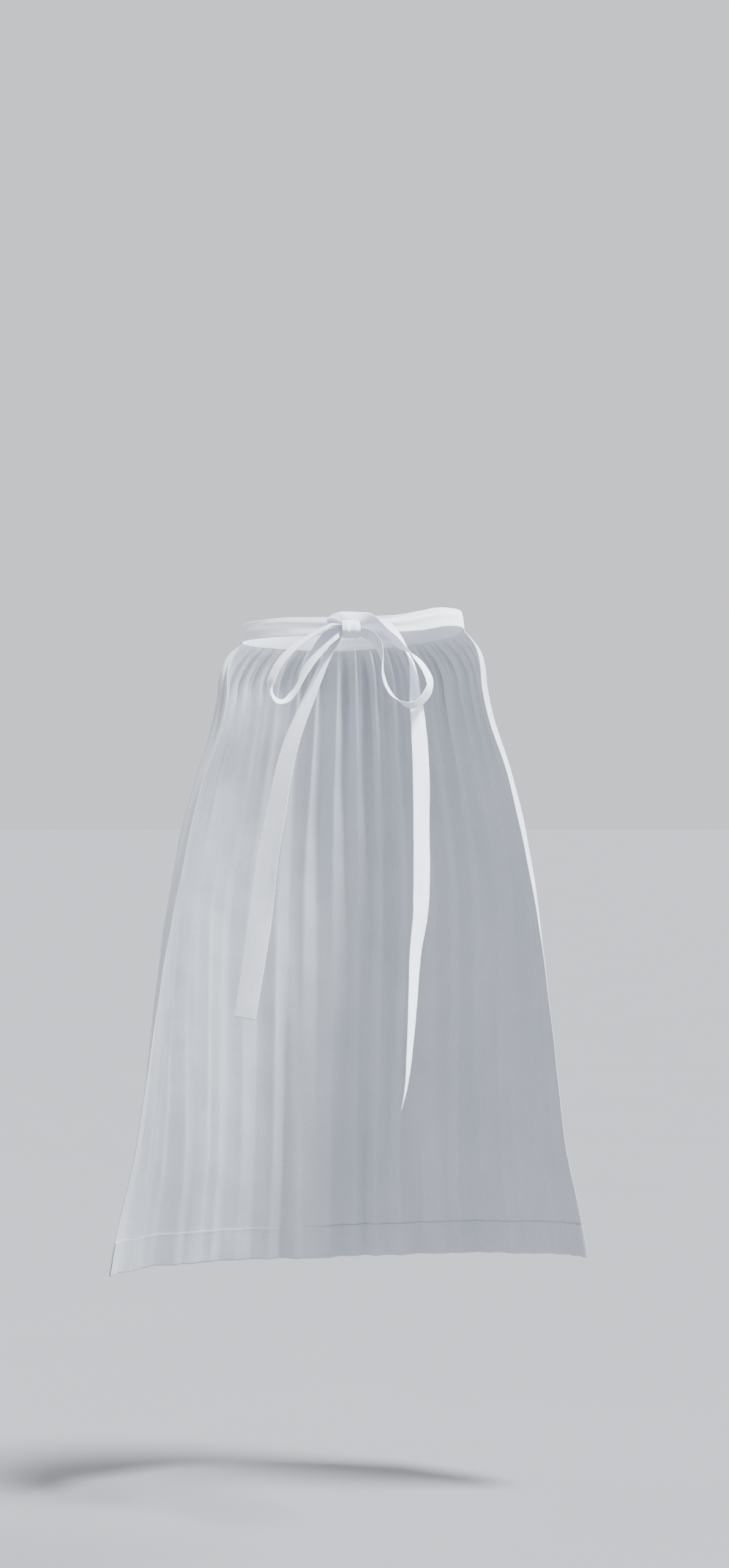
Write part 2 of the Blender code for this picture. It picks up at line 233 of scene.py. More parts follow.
RIGHT_LOOP_ROWS = (
    (36.0, 94.6, -0.5, 80, 10, 0.5),
    (29.5, 96.0, 2.0, 84, 18, 2.5),
    (22.5, 97.4, 2.6, 86, 24, 4.5),
    (11.3, 98.5, 1.6, 86, 28, 6.5),
    (0.0, 99.7, 1.2, 80, 28, 6.5),
    (-9.4, 103.8, 0.0, 63, 28, 5),
    (-16.6, 110.0, -3.2, 44, 27, 3),
    (-22.6, 115.5, -7.7, 28, 27, 1.5),
    (-29.0, 119.2, -12.9, 20, 27, 0.5),
    (-36.3, 122.0, -18.4, 15, 28, 0),
    (-43.4, 125.0, -24.5, 11, 28, 0),
    (-52.2, 128.0, -31.9, 0, 28, 0),
    (-59.0, 127.5, -38.5, -11, 28, 0),
    (-66.0, 127.0, -45.2, -17, 28, 0),
    (-72.8, 127.0, -54.8, -20, 28, 0),
    (-77.0, 127.6, -64.8, -23, 28, 0),
    (-76.4, 130.4, -74.2, -24, 28, 0),
    (-70.8, 136.8, -83.6, -24, 28, 0),
    (-61.9, 143.4, -91.0, -19, 28, 0),
    (-53.0, 147.0, -93.8, -11, 28, 0),
    (-44.9, 147.5, -92.3, -3, 28, 0),
    (-37.4, 145.0, -87.6, 8, 28, 0),
    (-30.7, 140.2, -79.5, 12, 28, 0),
    (-26.3, 136.7, -69.9, 13, 28, 0),
    (-24.2, 132.8, -59.0, 12, 28, 0),
    (-23.6, 128.8, -48.1, 6, 28, 0),
    (-23.4, 124.8, -38.2, -1, 28, 0),
    (-21.8, 120.0, -29.6, -10, 28, 0),
    (-18.0, 115.2, -21.8, -17, 27, 0),
    (-12.0, 111.8, -15.2, -24, 25, 0),
    (-5.0, 110.6, -11.4, -30, 20, 0),
    (3.6, 111.0, -9.2, -42, 12, 0),
)
LEFT_TAIL_ROWS = (
    (24.4, 104.2, -14.8, 35, 10, 0),
    (29.8, 107.0, -23.6, 34, 12, 0),
    (35.2, 110.2, -32.9, 34, 12, 0),
    (43.0, 115.5, -47.8, 36, 14, 0),
    (51.4, 120.5, -66.1, 37, 17, 0),
    (59.6, 125.0, -85.1, 36, 20, 0),
    (69.5, 129.5, -107.5, 39, 22, 0),
    (78.6, 132.9, -130.0, 42, 24, 0),
    (90.2, 137.2, -171.5, 46, 26, 0),
    (98.5, 140.0, -214.5, 49, 28, 0),
    (108.6, 141.6, -267.1, 57, 28, 0),
    (116.3, 142.8, -329.5, 71, 28, 0),
    (125.4, 145.0, -391.6, 65, 28, 0),
    (134.9, 147.3, -448.8, 58, 28, 0),
)
RIGHT_TAIL_ROWS = (
    (-8.3, 101.4, 1.4, 80, 9, 0),
    (-16.8, 100.2, 1.0, 78, 13, 0),
    (-26.7, 99.2, -2.1, 70, 16, 0),
    (-36.5, 99.8, -8.4, 57, 16, 0),
    (-43.5, 101.6, -16.2, 45, 14, 0),
    (-48.6, 103.4, -23.4, 36, 12, 0),
    (-54.2, 107.3, -34.0, 22, 12, 0),
    (-58.8, 111.0, -45.9, 31, 13, 0),
    (-60.6, 114.8, -57.5, 42, 14, 0),
    (-61.6, 120.5, -75.6, 52, 16, 0),
    (-62.6, 125.0, -93.2, 62, 18, 0),
    (-64.4, 132.6, -121.3, 61, 21, 0),
    (-65.8, 142.4, -163.1, 58, 24, 0),
    (-65.2, 154.2, -232.5, 48, 27, 0),
    (-64.4, 162.4, -300.9, 47, 28, 0),
    (-62.9, 165.5, -330.5, 43, 28, 0),
    (-56.9, 171.2, -371.7, 34, 28, 0),
    (-53.2, 176.8, -425.2, 27, 28, 0),
    (-49.9, 181.6, -472.0, 21, 28, 0),
    (-41.3, 189.4, -539.0, 8, 28, 0),
    (-38.6, 190.6, -549.0, 5, 28, 0),
)
# The tape wrapped over the knot. Columns: y and z of its path, half width
WRAP_ROWS = (
    (103.4, 2.4, 9.0),
    (108.5, 2.6, 9.4),
    (112.4, 1.6, 9.8),
    (115.8, -0.8, 10.4),
    (119.0, -4.6, 10.7),
    (120.6, -8.8, 10.6),
    (119.0, -12.8, 10.2),
    (113.4, -15.6, 9.8),
    (105.0, -16.2, 9.4),
    (99.5, -13.0, 9.2),
)
# The middle of the knot, and sections of the tape wrapped over it
KNOT_MIDDLE = (11.4, 108.0, -7.0)
WRAP_SECTIONS = 48
# Soft creases along each tape. Columns: start and end as shares of its length, place across
# at each from -1 to 1, half width, height
TIE_CREASES = (
    (0.0, 0.16, 0.35, 0.62, 2.6, 1.1),
    (0.0, 0.10, -0.35, -0.2, 3.0, -0.9),
    (0.05, 0.24, 0.1, -0.1, 4.0, 0.5),
    (0.20, 0.42, 0.5, 0.2, 3.2, 0.45),
    (0.36, 0.60, -0.1, 0.3, 3.8, -0.4),
    (0.55, 0.80, 0.45, 0.1, 3.0, 0.5),
    (0.78, 1.0, 0.25, 0.1, 2.4, 1.0),
    (0.86, 1.0, -0.5, -0.3, 2.8, -0.8),
    (0.90, 1.0, 0.75, 0.55, 2.0, -0.9),
)
LEFT_LOOP_CREASES = (
    (0.0, 0.3, 0.2, 0.4, 3.0, 0.5),
    (0.55, 1.0, -0.2, 0.2, 3.0, 0.6),
)
RIGHT_LOOP_CREASES = (
    (0.0, 0.3, 0.3, -0.2, 3.2, 0.7),
    (0.05, 0.3, -0.3, 0.3, 2.8, -0.6),
    (0.0, 0.075, 0.95, -0.7, 1.7, 0.9),
    (0.02, 0.095, 0.95, -0.8, 1.4, -0.8),
    (0.75, 1.0, 0.1, 0.2, 3.0, 0.6),
)
LEFT_TAIL_CREASES = (
    (0.0, 0.4, 0.2, -0.1, 3.2, 0.6),
    (0.3, 0.9, -0.2, 0.1, 5.0, 0.4),
)
RIGHT_TAIL_CREASES = (
    (0.0, 0.3, 0.2, -0.1, 3.2, 0.6),
    (0.5, 0.7, -0.5, 0.6, 4.0, 0.7),
)
WRAP_CREASES = (
    (0.0, 0.8, 0.55, 0.4, 1.7, 0.8),
    (0.2, 1.0, -0.45, -0.6, 1.6, 0.7),
    (0.3, 0.9, 0.0, 0.1, 1.6, -0.6),
)
# How blunt the ends of a tape's crease are; 1 is a plain half wave
CREASE_ENDS = 0.7
# Thickness of the double tape, and of the band where it closes on the gathers
TAPE_WALL = 1.3
BAND_WALL = 2.3
# Steps along a tape, and places of its columns across a face, close together at its edges
TAPE_STEP = 1.6
TAPE_ACROSS = (1.0, 0.985, 0.94, 0.86, 0.74, 0.6, 0.45, 0.3, 0.15, 0.0)
# The tape's folded edges: how square, and the least step round one on the flat cut, as a
# share of the half width
EDGE_SQUARENESS = 18
LEAST_STEP = 0.01
# The stitching thins the tape by this share within this width, and puckers its edges
PINCH = 0.3
PINCH_WIDTH = 0.9
PUCKER = 0.12
TIE_PUCKER = 0.2
PUCKER_WIDTH = 3.5
PUCKER_WAVES = (
    ((7.3, 1.0), (11.9, 2.2), (5.1, 0.3)),
    ((9.1, 0.4), (6.3, 3.2), (15.7, 1.9)),
)
# How far its edges twist out of flat, and its width wavers
TWIST = 0.12
TWIST_WAVES = ((61, 0.4), (37, 2.0))
WAVER = 0.12
WAVER_WAVES = ((43, 1.0), (23, 0.2))

# Machine stitching: how far inside an edge, length and gap of a stitch, width and height of
# its thread
STITCH_IN = 2.2
STITCH_LONG = 2.5
STITCH_GAP = 0.6
THREAD = 0.42
THREAD_HEIGHT = THREAD / 1.2
# How far a thread's middle lies off the tape and off the panel, the tape's column that it
# runs along, and the row that it crosses the hem at a tail's end on
STITCH_SUNK = 0.02
STITCH_LIFT = 0.12
STITCH_COLUMN = 0.86
END_HEM_ROW = -4
# Where the panel's rows of stitches start and end: in from its edges, and down from its
# seam, and how many points their paths have across and down
STITCH_END = 3.0
STITCH_TOP = 9.0
POINTS_ACROSS = 1200
POINTS_DOWN = 700
# Rows of stitches on the tapes, which each tape adds to as it is made
TIE_STITCHES = []

# Cotton cloth: spacing of its threads as drawn, width and length of its slubs, which are
# thicker stretches of thread, how high both stand, and patches of tone for each metre
THREAD_SPACING = 0.8
SLUB_WIDTH = 0.9
SLUB_LENGTH = 18.0
WEAVE_HEIGHT = 0.08
SLUB_HEIGHT = 0.05
TONE_PATCHES = 9.0

# The studio, in metres: its floor, the photograph's height and focal length in pixels, the
# sensor in millimetres, and the camera, 4 m behind the apron and turned 5 degrees
FLOOR_HEIGHT = -1.04
FLOOR_HALF = 60
PHOTO_HEIGHT = 2560
FOCAL_PIXELS = 5556
SENSOR = 36.0
CAMERA_PLACE = (0.33468, 3.98600, -0.184)
CAMERA_TURN = 175
# Lights from far off, in linear colours. Columns: name, the way it shines, strength, spread
# in degrees, colour
SUNS = (
    ("key_light", (0.28, -0.27, -0.92), 12.5, 12, (0.93, 0.96, 1.0)),
    ("side_light", (0.93, -0.12, -0.34), 4.5, 16, (0.93, 0.96, 1.0)),
    ("front_light", (0.86, 0.52, -0.50), 4.6, 14, (0.97, 0.98, 1.0)),
)
FILL_PLACE = Vector((3.4, -0.8, 0.8))
FILL_AIM = Vector((0, 0, -0.3))
FILL_SIZE = 2.4
FILL_POWER = 60
FILL_COLOUR = (0.95, 0.97, 1.0)


def smooth(rows, at):
    """Columns of a table at places along its first column, on smooth curves."""
    rows = np.array(rows, float)
    key = rows[:, 0]
    step = np.diff(key)
    rise = np.diff(rows[:, 1:], axis=0) / step[:, None]
    share = (step[:-1] / (step[:-1] + step[1:]))[:, None]
    slope = np.vstack([rise[:1], rise[:-1] * (1 - share) + rise[1:] * share, rise[-1:]])
    at = np.atleast_1d(np.asarray(at, float))
    i = np.clip(np.searchsorted(key, at, side="left") - 1, 0, len(step) - 1)
    t = ((at - key[i]) / step[i])[:, None]
    size = step[i][:, None]
    found = (
        rows[i, 1:] * (2 * t**3 - 3 * t**2 + 1)
        + slope[i] * size * (t**3 - 2 * t**2 + t)
        + rows[i + 1, 1:] * (3 * t**2 - 2 * t**3)
        + slope[i + 1] * size * (t**3 - t**2)
    )
    return found.T


def ease(value):
    """0 below 0, 1 above 1, and smooth between."""
    value = np.clip(value, 0, 1)
    return value * value * (3 - 2 * value)


def ripple(value, *waves):
    """An uneven but repeatable ripple: waves are pairs of spacing and start."""
    total = sum(np.sin(value * math.tau / spacing + start) for spacing, start in waves)
    return total / len(waves)


def unit(vectors):
    """The vectors at a length of 1."""
    return vectors / np.linalg.norm(vectors, axis=-1, keepdims=True)


def facing(vectors, way):
    """The vectors, each turned round if it points away from way."""
    return vectors * np.where((vectors * way).sum(axis=-1, keepdims=True) < 0, -1, 1)


def run_along(points):
    """How far along their path the points lie."""
    steps = np.linalg.norm(np.diff(points, axis=0), axis=1)
    return np.concatenate([[0], np.cumsum(steps)])


def on_path(run, points, at):
    """The places that lie at some run along a path of points."""
    return np.stack([np.interp(at, run, column) for column in points.T], axis=-1)


def in_scene(name, data):
    """A new object in the scene."""
    obj = bpy.data.objects.new(name, data)
    bpy.context.scene.collection.objects.link(obj)
    return obj


def finished(name, bm, material):
    """A new object in the scene, with a mesh made from bm, which is freed."""
    mesh = bpy.data.meshes.new(name)
    bm.to_mesh(mesh)
    bm.free()
    mesh.materials.append(material)
    return in_scene(name, mesh)


# Materials


def linear(code):
    """An sRGB hex colour as the linear values that a shader takes."""
    values = [int(code[i:i + 2], 16) / 255 for i in (1, 3, 5)]
    made = [v / 12.92 if v <= 0.04045 else ((v + 0.055) / 1.055) ** 2.4 for v in values]
    return (*made, 1.0)


def add_node(tree, kind, links=(), **settings):
    """Adds a node; settings name its properties or its inputs, links its linked inputs."""
    node = tree.nodes.new(kind)
    for name, value in settings.items():
        if hasattr(node, name):
            setattr(node, name, value)
        else:
            node.inputs[name.replace("_", " ").title()].default_value = value
    for name, source in dict(links).items():
        tree.links.new(source, node.inputs[name])
    return node


def new_material(name, values):
    """A material with its node tree and its shader; values go on the shader's own sockets."""
    material = bpy.data.materials.new(name)
    material.use_nodes = True
    shader = material.node_tree.nodes["Principled BSDF"]
    for socket, value in values.items():
        shader.inputs[socket].default_value = value
    return material, material.node_tree, shader


def woven_cotton(name, pale, deep, rumple_mm, rumple_depth):
    """Plain woven, bleached cotton: matt, faintly streaked by uneven threads, and soft. Its tone
    varies at random between pale and deep; where these are darker than the cloth's own white, the
    darkening is painted shade.

    The real threads are 0.4 mm apart; they are drawn further apart so that they show. Soft
    rumples, rumple_mm wide and rumple_depth deep, go with the folds of the mesh.
    """
    material, tree, shader = new_material(name, {
        "IOR": 1.5, "Specular IOR Level": 0.25, "Sheen Weight": 0.12, "Sheen Roughness": 0.5,
    })
    cut = add_node(tree, "ShaderNodeUVMap", uv_map="cut").outputs["UV"]
    # a wave's bands are 2 pi / 20 apart at a scale of 1
    wave_scale = math.tau / 20 / (THREAD_SPACING * MM)
    warp = add_node(tree, "ShaderNodeTexWave", {"Vector": cut}, bands_direction="X",
                    scale=wave_scale, distortion=1.2, detail=1.0)
    weft = add_node(tree, "ShaderNodeTexWave", {"Vector": cut}, bands_direction="Y",
                    scale=wave_scale, distortion=1.2, detail=1.0)
    weave = add_node(tree, "ShaderNodeMath", {0: warp.outputs["Fac"], 1: weft.outputs["Fac"]},
                     operation="MULTIPLY")
    slubs = []
    for size in ((SLUB_WIDTH, SLUB_LENGTH, SLUB_WIDTH), (SLUB_LENGTH, SLUB_WIDTH, SLUB_WIDTH)):
        place = add_node(tree, "ShaderNodeMapping", {"Vector": cut},
                         scale=tuple(1 / (part * MM) for part in size))
        slubs.append(add_node(tree, "ShaderNodeTexNoise", {"Vector": place.outputs["Vector"]},
                              scale=1.0, detail=3.0, roughness=0.6))
    slub = add_node(tree, "ShaderNodeMath",
                    {0: slubs[0].outputs["Fac"], 1: slubs[1].outputs["Fac"]}, operation="ADD")
    cloud = add_node(tree, "ShaderNodeTexNoise", {"Vector": cut}, scale=TONE_PATCHES, detail=2.0)
    tone = add_node(tree, "ShaderNodeMath",
                    {0: slub.outputs["Value"], 1: cloud.outputs["Fac"]}, operation="ADD")
    narrow = add_node(tree, "ShaderNodeMapRange", {"Value": tone.outputs["Value"]},
                      from_min=1.1, from_max=1.9)
    ramp = add_node(tree, "ShaderNodeValToRGB", {"Fac": narrow.outputs["Result"]})
    ramp.color_ramp.elements[0].color = linear(deep)
    ramp.color_ramp.elements[1].color = linear(pale)
    tree.links.new(ramp.outputs["Color"], shader.inputs["Base Color"])
    rough = add_node(tree, "ShaderNodeMapRange", {"Value": weave.outputs["Value"]},
                     to_min=0.92, to_max=0.8)
    tree.links.new(rough.outputs["Result"], shader.inputs["Roughness"])
    rumple = add_node(tree, "ShaderNodeTexNoise", {"Vector": cut}, scale=1 / (rumple_mm * MM),
                      detail=2.0, roughness=0.45)
    soft = add_node(tree, "ShaderNodeBump", {"Height": rumple.outputs["Fac"]},
                    distance=rumple_depth * MM)
    streaks = add_node(tree, "ShaderNodeBump",
                       {"Height": slub.outputs["Value"], "Normal": soft.outputs["Normal"]},
                       distance=SLUB_HEIGHT * MM)
    threads = add_node(tree, "ShaderNodeBump",
                       {"Height": weave.outputs["Value"], "Normal": streaks.outputs["Normal"]},
                       distance=WEAVE_HEIGHT * MM)
    tree.links.new(threads.outputs["Normal"], shader.inputs["Normal"])
    return material


def sewing_thread(name, pale, deep):
    """Spun cotton thread: off-white and dull, its twist too fine to draw."""
    material, tree, shader = new_material(name, {
        "IOR": 1.5, "Specular IOR Level": 0.3, "Sheen Weight": 0.1,
    })
    place = add_node(tree, "ShaderNodeTexCoord").outputs["Object"]
    fuzz = add_node(tree, "ShaderNodeTexNoise", {"Vector": place}, scale=900.0, detail=2.0)
    ramp = add_node(tree, "ShaderNodeValToRGB", {"Fac": fuzz.outputs["Fac"]})
    ramp.color_ramp.elements[0].color = linear(deep)
    ramp.color_ramp.elements[1].color = linear(pale)
    tree.links.new(ramp.outputs["Color"], shader.inputs["Base Color"])
    rough = add_node(tree, "ShaderNodeMapRange", {"Value": fuzz.outputs["Fac"]},
                     to_min=0.65, to_max=0.85)
    tree.links.new(rough.outputs["Result"], shader.inputs["Roughness"])
    return material


# Cloth


def laid_cloth(name, places, flat_x, flat_y, material, closed=False):
    """A flat grid of cloth with each of its points moved to its draped place.

    places has a row for each value of flat_y and a column for each of flat_x, in mm.
    A closed cloth is a tube: its last column lies on its first.
    """
    bm = bmesh.new()
    bmesh.ops.create_grid(bm, x_segments=len(flat_x) - 1, y_segments=len(flat_y) - 1, size=1)
    uv = bm.loops.layers.uv.new("cut")
    bm.verts.ensure_lookup_table()
    cut = {}
    for index, vert in enumerate(bm.verts):
        row, column = divmod(index, len(flat_x))
        cut[vert] = (flat_x[column] * MM, flat_y[row] * MM)
        vert.co = Vector(places[row][column]) * MM
    for face in bm.faces:
        face.smooth = True
        for loop in face.loops:
            loop[uv].uv = cut[loop.vert]
    if closed:
        bmesh.ops.remove_doubles(bm, verts=bm.verts, dist=MERGE_DISTANCE)
        bmesh.ops.holes_fill(bm, edges=[e for e in bm.edges if e.is_boundary], sides=0)
        bmesh.ops.recalc_face_normals(bm, faces=bm.faces)
    return finished(name, bm, material)


def waist_line(angle, across):
    """Points of the tie round the waist; across is 1 at its upper edge."""
    before = [(row[0] - 360, *row[1:]) for row in WAIST_ROWS[-2:]]
    after = [(row[0] + 360, *row[1:]) for row in WAIST_ROWS[:3]]
    middle, height, lean = smooth(before + list(WAIST_ROWS) + after, angle)
    rise = across * height / 2
    out = -rise * np.tan(np.radians(lean))
    turn = np.radians(angle)
    return np.stack([
        (WAIST_HALF_WIDTH + out) * np.sin(turn),
        (WAIST_HALF_DEPTH + out) * np.cos(turn),
        middle + rise,
    ], axis=-1)


def pressed_wave(swing, corner):
    """A wave from -1 to 1 with flat flanks, between crests that a corner near 1 makes sharp."""
    return np.arcsin(corner * np.cos(swing)) / math.asin(corner)


def main_gathers(side, drop, depth):
    """The gathers from band to hem, some of them lost on the way, and the broad folds."""
    settled = ease((drop - SETTLE_DROP) / SETTLE_LENGTH)
    turns, start = SPACING_WAVE
    swing = math.pi * GATHERS * side + UNEVEN_SPACING * np.sin(turns * side + start)
    swing = swing + (WANDER + WANDER_SETTLED * settled) * ripple(side, *WANDER_WAVES)
    swing = swing + SWAY * settled * np.sin(drop / SWAY_DROP + side / SWAY_SIDE)
    turns, start = DEPTH_WAVE
    uneven = 1 + UNEVEN_DEPTH * np.sin(turns * side + start)
    loss = LOSS + UNEVEN_LOSS * ripple(side + drop / LOSS_DRIFT, *LOSS_WAVES)
    uneven = uneven * np.clip(1 - settled * loss, LEAST_DEPTH, MOST_DEPTH)
    out = depth * uneven * pressed_wave(swing, CREST)
    for count, start, drift, height in BROAD_FOLDS:
        turn = math.pi * count * side + start + drift * drop / LENGTH
        out = out + height * settled * np.cos(turn)
    return out


def fine_gathers(side, drop):
    """The small pleats under the band, which end unevenly below it."""
    out = 0
    for count, depth, deepest, end in FINE_GATHERS:
        # the count also starts some of the waves, so that each row of the table has its own
        phase = math.pi * count * side + FINE_WANDER * ripple(side, (0.37, count), (0.23, 2.1))
        reach = end * (1 + FINE_UNEVEN_REACH * ripple(side, (0.19, count), (0.31, 4.0)))
        size = ease(drop / deepest) * (1 - ease((drop - deepest) / (reach - deepest)))
        strength = 1 + FINE_UNEVEN_DEPTH * ripple(side, (0.11, 1.3), (0.29, count))
        wave = np.cos(phase) + FINE_SECOND * np.cos(2 * phase + FINE_SECOND_START)
        out = out + depth * size * strength * wave
    return out


def hand_creases(side, drop):
    """The creases of the table: soft ridges and troughs that fade at their ends."""
    out = 0
    reach = HALF_WIDTH * (BAND_SHARE + (1 - BAND_SHARE) * ease(drop / LENGTH))
    for place, drift, top, bottom, half, height in CREASES:
        along = np.clip((drop - top) / (bottom - top), 0, 1)
        away = np.abs(side - (place + drift * along)) * reach / half
        # one that reaches the hem is at its full height there
        window = np.sin(math.pi * along) if bottom < LENGTH else np.sin(math.pi / 2 * along)
        out = out + height * window * np.exp(-away ** CREASE_FALL_OFF)
    return out


def crumple(across, down):
    """The slight unevenness of cloth that has been folded and worn, in mm."""
    total = 0
    for spacing, turn, start in CRUMPLE_WAVES:
        way = math.radians(turn)
        run = (across * math.cos(way) + down * math.sin(way)) * math.tau / spacing
        bend = CRUMPLE_BEND * np.sin(down / CRUMPLE_BEND_DROP + start)
        total = total + np.sin(run + start + bend)
    return CRUMPLE * total * ease(down / CRUMPLE_FULL)


def panel_gathers(side, drop, depth):
    """How far the gathered cloth stands out from the panel's smooth form."""
    flat = np.clip((1 - np.abs(side)) / FLAT_SIDE, 0, 1)
    out = flat * main_gathers(side, drop, depth) + np.sqrt(flat) * fine_gathers(side, drop)
    return out + hand_creases(side, drop) + crumple(side * HALF_WIDTH, drop)


def panel_place(side, drop):
    """Points in the middle of the panel's cloth, as arrays of side and drop."""
    columns = smooth(PANEL_ROWS, np.clip(drop.ravel(), 0, LENGTH))
    half_width, depth, reach, gather = (column.reshape(drop.shape) for column in columns)
    out = panel_gathers(side, np.clip(drop, 0, LENGTH), gather)
    angle = np.radians(side * reach)
    seam_angle = 180 - side * PANEL_ROWS[0][3]
    seam = waist_line(seam_angle.ravel(), -1)[:, 2].reshape(drop.shape)
    return np.stack([
        (half_width + out) * np.sin(angle),
        -(depth + out) * np.cos(angle),
        seam - drop,
    ], axis=-1)


def panel_across(side, drop):
    """Unit vectors along the panel's cloth towards its left edge."""
    return unit(panel_place(side + NEAR_SIDE, drop) - panel_place(side - NEAR_SIDE, drop))


def panel_inward(side, drop):
    """Unit vectors off the panel towards its hollow side."""
    down = panel_place(side, drop + NEAR_DROP) - panel_place(side, drop - NEAR_DROP)
    return unit(np.cross(panel_across(side, drop), down))


def panel_grid():
    """Columns across and rows down the panel's flat cloth with its hems, in mm."""
    hem = np.array(HEM_COLUMNS)
    side = np.concatenate([
        HALF_WIDTH - hem, [HALF_WIDTH], HALF_WIDTH + hem, [HALF_WIDTH + SIDE_HEM],
    ])
    inner = np.linspace(-HALF_WIDTH + SIDE_HEM, HALF_WIDTH - SIDE_HEM, INNER_COLUMNS)
    flat_x = np.unique(np.round(np.concatenate([-side, inner, side]), 4))
    hem = np.array(HEM_ROWS)
    steps = [np.arange(*row_step) for row_step in ROW_STEPS]
    flat_y = np.concatenate([BAND_ROWS, *steps, LENGTH - hem, [LENGTH], LENGTH + hem[::-1]])
    return flat_x, flat_y


def panel_cloth(material):
    """The panel with its side hems folded in and its bottom hem turned up inside."""
    flat_x, flat_y = panel_grid()
    x, y = np.meshgrid(flat_x, flat_y)
    folded_in = np.clip((np.abs(x) - HALF_WIDTH) / FOLD, -1, 1) * 0.5 + 0.5
    folded_up = np.clip((y - LENGTH) / FOLD, -1, 1) * 0.5 + 0.5
    side = np.sign(x) * (HALF_WIDTH - np.abs(np.abs(x) - HALF_WIDTH)) / HALF_WIDTH
    drop = np.where(y > LENGTH, 2 * LENGTH - y, y)
    # at the corners the bottom hem goes over the side hem, so it lies further in there
    corner = ease(1 - (HALF_WIDTH * (1 - np.abs(side)) - SIDE_HEM) / CORNER_EASE)
    lift = folded_up * HEM_GAP * (1 + 2 * corner)
    inward = lift + folded_in * HEM_GAP * np.sign(0.5 - folded_up)
    roll = EDGE_ROLL * np.sin(math.pi * folded_in) * np.sign(x)
    places = (
        panel_place(side, drop)
        + panel_inward(side, drop) * inward[..., None]
        + panel_across(side, drop) * roll[..., None]
    )
    obj = laid_cloth("panel_cloth", places, flat_x, flat_y, material)
    wall = obj.modifiers.new("Cloth", "SOLIDIFY")
    wall.thickness = CLOTH * MM
    wall.offset = 0.0
    return obj


def panel_stitch_rows():
    """Rows of stitches along the panel's hems, on its front and on its hollow side."""
    across = np.linspace(-1, 1, POINTS_ACROSS) * (HALF_WIDTH - STITCH_END)
    down = np.linspace(STITCH_TOP, LENGTH - STITCH_END, POINTS_DOWN)
    beside = (HALF_WIDTH - SIDE_HEM + STITCH_IN) / HALF_WIDTH
    lines = [(across / HALF_WIDTH, np.full_like(across, LENGTH - BOTTOM_HEM + STITCH_IN))]
    lines += [(np.full_like(down, sign * beside), down) for sign in (-1, 1)]
    off = CLOTH / 2 + STITCH_LIFT
    rows = []
    for side, drop in lines:
        place, inward = panel_place(side, drop), panel_inward(side, drop)
        rows.append((place - inward * off, -inward))
        rows.append((place + inward * (off + HEM_GAP), inward))
    return rows


def tape_faces(across):
    """Places round a flattened tape, from an edge by its outer face and back by its inner one.

    With each place goes 1 on the outer face and -1 on the inner one.
    """
    one = list(across) + [-a for a in reversed(across[:-1])]
    return np.array(one + one[::-1][1:]), np.array([1] * len(one) + [-1] * (len(one) - 1))


def tape_lift(across, run, half, bulge, pucker, creases):
    """How far a tape stands out of flat; across is a row, and the others are columns."""
    lift = bulge * (1 - across ** 2)
    beside = np.exp(-((1 - np.abs(across)) * half / PUCKER_WIDTH) ** 2)
    upper, lower = (ripple(run, *waves) for waves in PUCKER_WAVES)
    lift = lift + pucker * beside * np.where(across > 0, upper, lower)
    lift = lift + TWIST * ripple(run, *TWIST_WAVES) * across
    for start, end, from_across, to_across, width, height in creases:
        along = np.clip((run / run[-1] - start) / (end - start), 0, 1)
        centre = from_across + (to_across - from_across) * along
        away = (across - centre) * half / width
        lift = lift + height * np.sin(math.pi * along) ** CREASE_ENDS * np.exp(-away * away)
    return lift


def tape_stitch_rows(places, face, layer, hemmed):
    """Rows of stitches along the edges of a tape's faces, and across the hem at its end."""
    near = TAPE_ACROSS.index(STITCH_COLUMN)
    turn = 2 * len(TAPE_ACROSS) - 2
    rows = []
    for column in (near, turn - near, turn + near, 2 * turn - near):
        way = face * layer[column]
        rows.append((places[:, column] + way * STITCH_SUNK, way))
    if hemmed:
        out = np.tile(face[END_HEM_ROW], (turn - 2 * near + 1, 1))
        for first, way in ((near, out), (turn + near, -out)):
            path = places[END_HEM_ROW, first:first + len(way)]
            rows.append((path + way * STITCH_SUNK, way))
    return rows


def tape_tube(name, path, wall, material, creases, pucker=PUCKER, hemmed=False):
    """A double tape, as a flattened tube, along a path in mm.

    A path has its middle, unit vectors to one edge and out of the outer face, half width and
    bulge. A wall thickness goes with each of its points.
    """
    middle, edge, face, half, bulge = path
    run = run_along(middle)
    round_tape, layer = tape_faces(TAPE_ACROSS)
    across = round_tape[None, :]
    half, bulge, length = half[:, None], bulge[:, None], run[:, None]
    thick = wall[:, None] / 2 * np.sqrt(np.clip(1 - np.abs(across) ** EDGE_SQUARENESS, 0, 1))
    for sign in (-1, 1):
        off = across * half - sign * (half - STITCH_IN)
        thick = thick * (1 - PINCH * np.exp(-(off / PINCH_WIDTH) ** 2))
    lift = tape_lift(across, length, half, bulge, pucker, creases)
    reach = across * (half + WAVER * ripple(length, *WAVER_WAVES))
    places = (
        middle[:, None, :]
        + edge[:, None, :] * reach[..., None]
        + face[:, None, :] * (lift + layer * thick)[..., None]
    )
    TIE_STITCHES.extend(tape_stitch_rows(places, face, layer, hemmed))
    steps = np.abs(np.diff(round_tape)) + LEAST_STEP
    flat_x = np.concatenate([[0], np.cumsum(steps)]) * half.max()
    return laid_cloth(name, places, flat_x, run, material, closed=True)


def path_frames(middle, toward_edge):
    """Unit edge and face directions along a path, from rough directions to one edge."""
    along = unit(np.gradient(middle, axis=0))
    edge = unit(toward_edge - along * (toward_edge * along).sum(axis=1, keepdims=True))
    return edge, unit(np.cross(along, edge))


